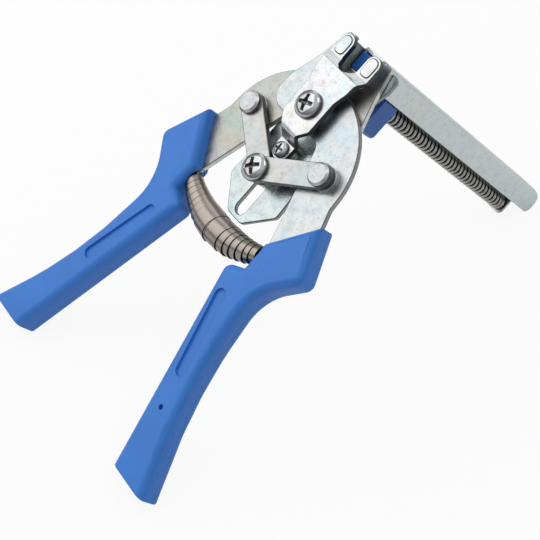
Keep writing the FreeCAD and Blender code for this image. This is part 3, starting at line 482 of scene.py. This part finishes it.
# %% [markdown]
# ## Rounding the edges of the solids
# The solids have the right shapes, but their edges are knife sharp, and a sharp edge
# catches no light. A copy of each is welded, its flat faces are cleared of triangles and a
# Bevel modifier rounds its edges, as stamping and tumbling leave them. The copy then rides
# on the node's body and stands for the node. On a plate only the edges along its outline
# are rounded, at their full width, because between two short arc edges the modifier's own
# clamp would shrink them to nothing.

# %% Dress a construction node
WELD = 1e-6
FLAT_ANGLE = math.radians(2.0)
SHARP_ANGLE = math.radians(32.0)
OUTLINE_ANGLE = math.radians(60.0)
SQUARE_TO_PLATE = 0.05
plate_normal = direction((0, 0, 1))


def dress(node, material, bevel, sheared=None, rim_material=None):
    """A welded and bevelled copy of a node, riding on the node's own body in its place.

    Where |normal * plate normal| is near 0, the plate was sheared, and the face takes the
    sheared material. The bevel is given in mm and takes the rim material, if there is one."""
    source = frame["nodes"][node]
    mesh = bpy.data.meshes.new(node + "_dressed")
    shape = bmesh.new()
    shape.from_mesh(source.data)
    bmesh.ops.remove_doubles(shape, verts=shape.verts, dist=WELD)
    bmesh.ops.dissolve_limit(shape, angle_limit=FLAT_ANGLE, verts=shape.verts, edges=shape.edges)
    for face in shape.faces:
        face.smooth = True
        face.material_index = int(bool(sheared) and abs(face.normal.dot(plate_normal)) < SQUARE_TO_PLATE)
    for edge in shape.edges:
        edge.smooth = len(edge.link_faces) == 2 and edge.calc_face_angle(0.0) < SHARP_ANGLE
    shape.to_mesh(mesh)
    shape.free()
    for layer in (material, sheared, rim_material):
        if layer:
            mesh.materials.append(layer)
    piece = bpy.data.objects.new(node + "_dressed", mesh)
    bpy.context.scene.collection.objects.link(piece)
    rim = piece.modifiers.new("bevel", "BEVEL")
    rim.width = bevel * MM
    rim.segments = 2
    rim.limit_method = "ANGLE"
    rim.angle_limit = OUTLINE_ANGLE if rim_material else SHARP_ANGLE
    rim.material = 2 if rim_material else -1
    rim.use_clamp_overlap = not rim_material
    rim.harden_normals = True
    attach(piece, source["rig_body"])
    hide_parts(node)


print("edges over %.0f degrees are rounded" % math.degrees(SHARP_ANGLE))

# %% [markdown]
# ## Sheared plates
# Base plate, levers, links and cover were cut from sheet in a press. Each gets its own
# bath, a sheared edge and a dark rim; the levels of the edges and rims are partly painted
# light and shade. The thin channel shows hardly any cut edge, so it is only rounded, and so
# are the small bracket at its end and the washers under the rivets.

# %% Plates
PLATES = {
    "base_plate": (ZINC_KITE, 0.4, ZINC_EDGE_AND_SHADE, RIM_PAINTED_SHADE),
    "right_lever": (ZINC, 0.3, ZINC_EDGE_AND_SHADE, RIM_PAINTED_SHADE),
    "left_lever": (ZINC_WARM, 0.3, WARM_EDGE_HIGHLIGHT, RIM_PAINTED_SHADE),
    "right_link": (ZINC_LINK, 0.35, COVER_EDGE_AND_SHADE, RIM_PAINTED_SHADE),
    "left_link": (ZINC_LINK, 0.35, COVER_EDGE_AND_SHADE, RIM_PAINTED_SHADE),
    "front_cover": (ZINC_COVER, 0.25, COVER_EDGE_AND_SHADE, COVER_EDGE_AND_SHADE),
}
for node, (material, bevel, sheared, rim_material) in PLATES.items():
    dress(node, material, bevel, sheared, rim_material)
PRESSED_BEVEL = 0.25
dress("magazine_channel", ZINC_CHANNEL, PRESSED_BEVEL)
for node in ("magazine_end_bracket", "right_rivet_washer", "left_rivet_washer"):
    dress(node, ZINC, PRESSED_BEVEL)
print("plates:", list(PLATES))

# %% [markdown]
# ## Small turned pieces and rivets
# Bushes, washers, nuts and the spacer are plated like the plates, with a finer rounding.
# The rivets are duller on top, where the hammer flattened them, and painted dark round the side as
# painted shade.
# Their rounding is under half of the straight side of their tail, so that the two
# roundings there don't meet and leave faces without area.

# %% Turned pieces and rivets
TURNED_BEVEL = 0.2
RIVET_BEVEL = 0.13
TURNED = ("pivot_bush", "pivot_washer", "pivot_nut", "cover_spacer", "cover_nut", "slide_bush",
          "link_washer", "link_nut")
for node in TURNED:
    dress(node, ZINC, TURNED_BEVEL)
for node in ("left_rivet", "right_rivet"):
    dress(node, ZINC_RIVET, RIVET_BEVEL, RIM_PAINTED_SHADE)
print("turned pieces:", len(TURNED) + 2)

# %% [markdown]
# ## Grips, pusher and rod
# The grips already have their large roundings in the solids, and the bevel only takes the
# last hard edges off: the guard, the thumb groove and the mouth. The pusher came out of a
# sharper mould. The rod it slides along is nearly black, which darkens the gaps between the
# turns of its spring.

# %% Grips, pusher and rod
GRIP_BEVEL = 0.5
PUSHER_BEVEL = 0.3
for node in ("left_grip", "right_grip"):
    dress(node, GRIP_BLUE, GRIP_BEVEL)
dress("pusher", PUSHER_BLUE, PUSHER_BEVEL)
dress("spring_guide_rod", BLACK_ROD, TURNED_BEVEL)

# %% [markdown]
# ## Surfaces from a grid
# A coil spring, a strip spring and a screw are all one thing: a closed section carried
# along a path. So one helper turns a grid of points, section by section, into a mesh, and
# each piece only has to say where its points lie. A second material can be laid on chosen
# quads: painted shade, and on the strip spring also its own dark cut edges.


# %% A closed section along a path
def swept(name, grid, material, body, dark_material, dark):
    """Mesh from grid[k, j], point j of section k, in tool mm; both ends are capped.

    Quads join section k to section k + 1, and the section's last point joins its first.
    Where dark[k, j] is true, the quad takes the dark material. Without a body the piece
    stays unattached."""
    rows, columns = grid.shape[:2]
    k, j = np.meshgrid(np.arange(rows - 1), np.arange(columns), indexing="ij")
    after = (j + 1) % columns
    quads = np.stack([k * columns + j, k * columns + after,
                      (k + 1) * columns + after, (k + 1) * columns + j], axis=-1).reshape(-1, 4)
    caps = [list(range(columns))[::-1], list(range((rows - 1) * columns, rows * columns))]
    mesh = bpy.data.meshes.new(name)
    mesh.from_pydata(to_row(grid.reshape(-1, 3)).tolist(), [], quads.tolist() + caps)
    mesh.materials.append(material)
    mesh.materials.append(dark_material)
    chosen = np.broadcast_to(dark, (rows - 1, columns)).reshape(-1)
    mesh.polygons.foreach_set("material_index", np.append(chosen, [False, True]).astype(np.int32))
    mesh.polygons.foreach_set("use_smooth", np.append(np.ones(len(quads), bool), [False, False]))
    shape = bmesh.new()
    shape.from_mesh(mesh)
    bmesh.ops.recalc_face_normals(shape, faces=shape.faces)
    for edge in shape.edges:
        edge.smooth = edge.calc_face_angle(0.0) < SHARP_ANGLE
    shape.to_mesh(mesh)
    shape.free()
    piece = bpy.data.objects.new(name, mesh)
    bpy.context.scene.collection.objects.link(piece)
    if body:
        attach(piece, body)
    print(name + ":", rows, "sections of", columns, "points")
    return piece


# %% [markdown]
# ## Head with a cross recess
# A pan head is a shallow dome on a short rim. Its cross recess has leaning walls, and the
# arms get wider and deeper towards the middle. A boolean cut would leave a flat, lifeless
# recess. So the head is a height field over a round grid, from which the depth of the
# cross is taken away.

# %% Domed head
SCREW_COLUMNS = 112
DOME_ROWS = 44
POLE = 0.05
RIM_SHARE = 0.36
CROSS_REACH = 0.62
CROSS_WIDTH = 0.14
CROSS_DEPTH = 0.55
around = np.linspace(0, 2 * np.pi, SCREW_COLUMNS, endpoint=False)[None, :]


def recess_depth(u, v, reach, width, depth):
    """Depth of a cross: with a the smaller and b the larger of |u| and |v|, an arm is where
    a < width and b < reach, its wall leans from 0 at the border to 1 inside, and its floor
    rises from the middle to the end: depth * wall * (1.1 - 0.55 * b / reach)."""
    a, b = np.minimum(abs(u), abs(v)), np.maximum(abs(u), abs(v))
    wide = width + 0.35 * np.clip(0.42 * reach - b, 0, None)
    wall = np.clip(np.minimum((wide - a) / (0.45 * width), (reach - b) / (0.7 * width)), 0, 1)
    return depth * wall * (1.1 - 0.55 * b / reach)


def domed_head(radius, height, seat, turn):
    """Pairs (r, z) from the middle of the head to its edge, and the depth of the cross there.

    z = seat + rim + (height - rim) * sqrt(1 - (r / radius) ^ 2) - recess. The rows stand at the
    sines of even steps, so that they lie close at the edge, and leave a small flat pole."""
    share = np.sin(np.linspace(POLE, np.pi / 2, DOME_ROWS))[:, None]
    r = radius * share + 0 * around
    recess = recess_depth(r * np.cos(around - turn), r * np.sin(around - turn),
                          CROSS_REACH * radius, CROSS_WIDTH * radius, CROSS_DEPTH * height)
    rim = RIM_SHARE * height
    z = seat + rim + (height - rim) * np.sqrt(np.clip(1 - share ** 2, 0, 1)) - recess
    return np.stack([r, z], axis=-1), recess


print("head: %d rows of %d points" % (DOME_ROWS, SCREW_COLUMNS))

# %% [markdown]
# ## Shank and thread
# Further down, the same round grid carries the rim of the head, the plain shank and the
# thread. The thread's ridge climbs as the angle grows, so it is one formula and needs no
# helix. It shows at the back, where each screw comes out of its nut. The rim under the
# dome is painted dark like the recess, as painted shade.

# %% Screw
THREAD_DEPTH = 0.35
THREAD_START = 0.1
THREAD_END = 0.3
ROWS_PER_PITCH = 8
FEWEST_ROWS = 12
UNDERCUT = 0.12
TIP_CHAMFER = 0.5
TIP_RADIUS = 0.6
SHADED_SHARE = 0.12


def ring(radius, height):
    """One row of the same pair (r, z) all round."""
    return np.broadcast_to((float(radius), float(height)), (1, SCREW_COLUMNS, 2))


def thread(radius, pitch, top, tip):
    """Pairs (r, z) with r = radius - THREAD_DEPTH * |2 * fraction(z / pitch + angle / 2 pi) - 1|."""
    rows = max(FEWEST_ROWS, int((top - tip) / pitch * ROWS_PER_PITCH))
    down = np.linspace(top - THREAD_START, tip + THREAD_END, rows)[:, None]
    wave = abs(((down / pitch + around / (2 * np.pi)) % 1.0) * 2 - 1)
    return np.stack([radius - THREAD_DEPTH * wave, down + 0 * around], axis=-1)


def screw_grid(head_radius, head_height, shank_radius, tip, seat, nut_back, pitch, turn):
    """Rings from the middle of the head, down its rim and shank, to the tip; mm from the axis.

    Point = (r * cos(angle), r * sin(angle), z). Dark is the rim of the head, and the cross
    where it is deeper than a small share of the head."""
    head, recess = domed_head(head_radius, head_height, seat, turn)
    rows = np.concatenate([
        head, ring(head_radius, seat + UNDERCUT), ring(head_radius - UNDERCUT, seat),
        ring(shank_radius, seat), ring(shank_radius, nut_back),
        thread(shank_radius, pitch, nut_back, tip),
        ring(shank_radius - TIP_CHAMFER, tip), ring(TIP_RADIUS, tip)])
    dark = np.zeros((len(rows) - 1, SCREW_COLUMNS), bool)
    # Painted shade: the deeper parts of the cross and the rim under the dome take the nearly black
    # finish.
    dark[:DOME_ROWS] = recess > SHADED_SHARE * head_height
    dark[DOME_ROWS - 1:DOME_ROWS + 1] = True
    r, z = rows[..., 0], rows[..., 1]
    return np.stack([r * np.cos(around), r * np.sin(around), z], axis=-1), dark


print("thread %.2f mm deep" % THREAD_DEPTH)

# %% [markdown]
# ## The three screws
# The pivot screw holds the levers, the link screw slides in the slot with the right link,
# and the small one holds the cover's tab. Their length and seat are measured on the
# construction nodes, and each cross is turned as the screwdriver left it.

# %% Screws
SCREWS = {
    "pivot_screw": dict(body="frame", centre=(0, 0), head=(6.0, 3.5), shank=3.0, tail=5.3, pitch=1.0,
                        turn=0.35),
    "link_screw": dict(body="right_link", centre=(0, -33.2), head=(6.0, 3.5), shank=2.4, tail=5.3,
                       pitch=0.8, turn=0.75),
    "cover_screw": dict(body="frame", centre=(0, -21.2), head=(3.5, 2.4), shank=1.9, tail=0.8, pitch=0.7,
                        turn=0.15),
}
for node, form in SCREWS.items():
    low, high = span(node)
    head_radius, head_height = form["head"]
    grid, dark = screw_grid(head_radius, head_height, form["shank"], low[2], high[2] - head_height,
                            low[2] + form["tail"], form["pitch"], form["turn"])
    screw = swept(node + "_turned", grid + (*form["centre"], 0), BRIGHT,
                  form["body"], RECESS_SHADE, dark)
    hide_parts(node)
print("screws:", list(SCREWS))

# %% [markdown]
# ## Spring of the clip pusher
# A long spring of round wire on a straight rod. It could be a curve with a bevel, but the
# grid helper gives the same tube.
# The end turns lie closer together, as a coiling machine leaves them. The inner side of
# the wire is painted dark, as painted shade where little light falls between the turns and the rod.

# %% Pusher spring
ROD_HEIGHT = 17.2
COIL_RADIUS = 3.2
WIRE_RADIUS = 0.85
COIL_TURNS = 37
CLOSED_TURNS = 1.2
STEPS_PER_TURN = 28
WIRE_SIDES = 10
# These sides of the wire take the nearly black finish, as painted shade between the turns.
INNER_SIDES = (2, 3, 4, 5, 6, 7)


def pusher_coil(front, back):
    """Round wire on a helix: the angle grows evenly, the depth slower at both ends.

    Point = axis + (radius + wire * cos(b)) * radial(a) + wire * sin(b) * along."""
    turn = np.linspace(0.0, 1.0, COIL_TURNS * STEPS_PER_TURN + 1) * COIL_TURNS
    eased = turn - CLOSED_TURNS * (np.tanh(turn) + np.tanh(turn - COIL_TURNS) + 1) / 2
    eased = (eased - eased[0]) / (eased[-1] - eased[0])
    first = front - WIRE_RADIUS
    depth = first + eased * (back + WIRE_RADIUS - first)
    a = (turn * 2 * np.pi)[:, None]
    b = np.linspace(0, 2 * np.pi, WIRE_SIDES, endpoint=False)[None, :]
    reach = COIL_RADIUS + WIRE_RADIUS * np.cos(b)
    return np.stack([reach * np.sin(a), ROD_HEIGHT + reach * np.cos(a),
                     depth[:, None] + WIRE_RADIUS * np.sin(b) + 0 * a], axis=-1)


print("wire in the coil: about %.0f mm" % (COIL_TURNS * 2 * math.pi * COIL_RADIUS))

# %% [markdown]
# ## The coil between pusher and bracket
# The spring stands between the pusher and the bracket at the end of the channel, where the
# construction node says. The share of its length that would be left when the pusher comes
# back by its whole travel is worked out, but nothing uses it, so the coil keeps its length.

# %% Fit the pusher spring
PUSHER_TRAVEL = 60.0
coil_low, coil_high = span("pusher_spring")
coil_length = coil_high[2] - coil_low[2]
coil = swept("pusher_coil", pusher_coil(coil_high[2], coil_low[2]), COIL, "frame",
             SPRING_EDGE_AND_SHADE, np.isin(np.arange(WIRE_SIDES), INNER_SIDES))
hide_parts("pusher_spring")
1 - PUSHER_TRAVEL / coil_length
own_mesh(coil)
print("pusher spring: %.1f mm long, %d turns" % (coil_length, COIL_TURNS))

# %% [markdown]
# ## Double cone spring between the handles
# One flat strip is wound into two cones that meet at their wide ends, and the whole is bent
# into an arc about the pivot. Each turn is a short stiff tube, so on the outer side of the
# bend the turns gape and on the inner side they slide into each other. That is why each
# point is placed from the middle of its own turn, and not bent with the arc. The cut edges
# of the strip are dark, partly of their own and partly as painted shadow, and a thin band
# where each turn comes out from under the one before is painted shadow.

# %% Half of the return spring
ARC_RADIUS = 63.2
ARC_HEIGHT = 2.7
ARC_SKEW = 1.35
STRIP_THICKNESS = 0.5
# The wide rounding of the free edge is nearly black, partly the cut edge's own colour and partly painted
# shadow; the band after it is painted shadow where each turn comes out.
STRIP_BEVEL = 0.22
SHADOW_BAND = 0.35
STRIP_TURN_STEPS = 56
TURN_EDGES = (7.0, 10.6, 13.4, 16.4, 19.7, 22.1, 25.2, 28.0)
HIDDEN_TURNS = (0, 1, 2, 7)
HIDDEN_EDGES = (-0.4, -0.4, 5.5, 21.0)
FIRST_TURN_END = 0.98
SEAT_ANGLE = 28.27


def strip_half(side, radii, drift, taper, first):
    """Half of the spring: turn t has its free edge at TURN_EDGES[t] degrees along the arc.

    Point = arc(angle) + (radius + h) * (cos(a) * out + sin(a) * up) + w * along, where
    (w, h) runs round the strip's section and turn t has radius radii[t], less by taper at its
    free edge. The middle of each turn lies by drift nearer to the pivot than the one before.
    Turn 0 comes out from under the other half at the angle first. The section's ten points
    run along the outer face, round the free edge, back inside and round the hidden edge."""
    turns = len(TURN_EDGES) - 1
    turn = np.linspace(0, turns, turns * STRIP_TURN_STEPS + 1)
    free = np.interp(turn, np.arange(turns + 1), np.radians(TURN_EDGES))[:, None]
    hidden = np.interp(turn, HIDDEN_TURNS, np.radians(HIDDEN_EDGES))[:, None]
    angle = (free + hidden) / 2
    half_width = (free - hidden) / 2 * ARC_RADIUS
    arc = (ARC_RADIUS - drift * turn)[:, None]
    radius = np.interp(turn, np.arange(turns + 1), radii)[:, None]
    a = (turn * 2 * np.pi)[:, None]
    h = STRIP_THICKNESS / 2
    bevel = STRIP_BEVEL
    passed = np.append([0, FIRST_TURN_END], np.arange(1, turns + 1))
    comes_out = np.interp(turn, passed, np.radians((first, first) + TURN_EDGES[:-1]))[:, None]
    place = (comes_out - angle) * ARC_RADIUS / half_width
    ends = np.array([-1, -1, 0, 0, 1, 1, 1, 1, -1, -1]) + place * np.array([0, 0, 1, 1, 0, 0, 0, 0, 0, 0])
    trims = np.array([0, bevel, 0, SHADOW_BAND, -bevel, 0, 0, -bevel, bevel, 0])
    width = half_width * ends + trims
    height = np.array([h - bevel, h, h, h, h, h - bevel, bevel - h, -h, -h, bevel - h])
    reach = radius + height - taper * ends
    out = reach * np.cos(a)
    x = (arc + out) * np.sin(angle) + width * np.cos(angle)
    y = -(arc + out) * np.cos(angle) + width * np.sin(angle)
    skew = side * ARC_SKEW * angle / math.radians(SEAT_ANGLE)
    z = ARC_HEIGHT + skew + reach * np.sin(a) + 0 * width
    return np.stack([x * side, y, z], axis=-1)


print("return spring: free edges of the turns at", TURN_EDGES, "degrees")

# %% [markdown]
# ## The spring between its two seats
# Only two sides of the strip's section are bright: the outer face before the painted
# shadow band and the outer face after it. In the tool the middle of the spring stays where
# it is and each end goes with its lever. Here each half rides on no body, and its shape is
# baked where it lies. A squash along one straight line would kink it.

# %% Both halves of the return spring
SECTION_SIDES = 10
BRIGHT_SIDES = (1, 3)
HALVES = {
    "right": dict(side=1, drift=0.05, taper=0.0, first=0.4,
                  radii=(6.45, 6.15, 5.75, 5.3, 4.85, 4.4, 4.0, 3.7)),
    "left": dict(side=-1, drift=-0.06, taper=0.2, first=-0.15,
                 radii=(6.75, 6.15, 5.75, 5.35, 4.95, 4.55, 4.15, 3.8)),
}
for hand, half in HALVES.items():
    strip = swept("return_strip_" + hand, strip_half(**half), SPRING, None,
                  SPRING_EDGE_AND_SHADE, np.isin(np.arange(SECTION_SIDES), BRIGHT_SIDES, invert=True))
    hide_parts("return_spring_" + hand)
    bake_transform(strip)

# %% [markdown]
# ## Floor
# The photograph has a plain white ground with hardly a shadow. A white floor under strong
# light would also throw that light up at the tool. So the floor is pale and matt and keeps
# its soft shadow, and it glows a plain white only for the camera and, in part, for what
# metal mirrors.

# %% Floor
FLOOR_HALF = 3.0
FLOOR_SEEN = (0.9, 0.35)


def floor_finish():
    """Matt pale floor, mixed with plain white by the share that the camera and metal see."""
    finish = Finish("floor", Base_Color=(0.80, 0.80, 0.80, 1), Roughness=0.9)
    glow = finish.node("ShaderNodeEmission", {}, {"Color": (1, 1, 1, 1), "Strength": 1.0})
    matt = Wire(finish, finish.shader.outputs[0])
    finish.output("Material Output", finish.node("ShaderNodeMixShader", {}, {
        0: finish.seen(*FLOOR_SEEN), 1: matt, 2: glow}))
    return finish.material


floor_mesh = bpy.data.meshes.new("floor")
corners = [(-FLOOR_HALF, -FLOOR_HALF, 0), (FLOOR_HALF, -FLOOR_HALF, 0),
           (FLOOR_HALF, FLOOR_HALF, 0), (-FLOOR_HALF, FLOOR_HALF, 0)]
floor_mesh.from_pydata(corners, [], [(0, 1, 2, 3)])
floor_mesh.materials.append(floor_finish())
floor = bpy.data.objects.new("floor", floor_mesh)
bpy.context.scene.collection.objects.link(floor)
print("floor: %.0f m square" % (2 * FLOOR_HALF))

# %% [markdown]
# ## Lamps
# Three soft lamps at a plain level: a broad key from the upper left of the photograph, a
# small one overhead for crisper lights on the round pieces, and one above and behind, which
# lights the far edges. Broad lamps keep the plated faces from clipping to white.

# %% Lamps
LAMPS = {
    "key": ((-0.62, -0.55, 0.68), 1.2, 5.2),
    "top": ((0.15, 0.30, 0.75), 0.35, 0.9),
    "rim": ((-0.70, 0.62, 0.57), 0.6, 1.0),
}
middle = Vector(to_row((0, -40, 0)))
for name, (away, size, watts) in LAMPS.items():
    data = bpy.data.lights.new(name, "AREA")
    data.size = size
    data.energy = watts
    lamp = bpy.data.objects.new(name, data)
    lamp.location = middle + Vector(away)
    lamp.rotation_euler = (-Vector(away)).to_track_quat("-Z", "Y").to_euler()
    bpy.context.scene.collection.objects.link(lamp)
print("lamps:", {name: watts for name, (away, size, watts) in LAMPS.items()})

# %% [markdown]
# ## Sky
# Plated steel shows what stands round it, so the room matters as much as the lamps. The
# sky is bright overhead and dark below, as in a studio with a lit ceiling, which gives the
# domes and rims their dark sides. The camera sees plain white instead, and metal sees a
# little of that white, so two backgrounds are mixed by the kind of ray that looks. The
# Standard view shows colours about as they are written here.

# %% Sky
SKY_STOPS = ((0.0, 0.08), (0.45, 0.35), (0.9, 1.0))
SKY_STRENGTH = 0.9
SKY_SEEN = (1.0, 0.15)
world = bpy.data.worlds.new("studio")
bpy.context.scene.world = world
world.use_nodes = True
sky = Web(world.node_tree)
sky.tree.nodes.remove(sky.tree.nodes["Background"])
height = sky.node("ShaderNodeSeparateXYZ", {}, {0: sky.node("ShaderNodeTexCoord")}, out=2)
room = sky.node("ShaderNodeBackground", {}, {
    "Color": sky.ramp(height, *SKY_STOPS), "Strength": SKY_STRENGTH})
white = sky.node("ShaderNodeBackground", {}, {"Color": (1, 1, 1, 1), "Strength": 1.0})
sky.output("World Output", sky.node("ShaderNodeMixShader", {}, {
    0: sky.seen(*SKY_SEEN), 1: room, 2: white}))
bpy.context.scene.view_settings.view_transform = "Standard"
print("sky from", SKY_STOPS[0][1], "below to", SKY_STOPS[-1][1], "overhead")

# %% [markdown]
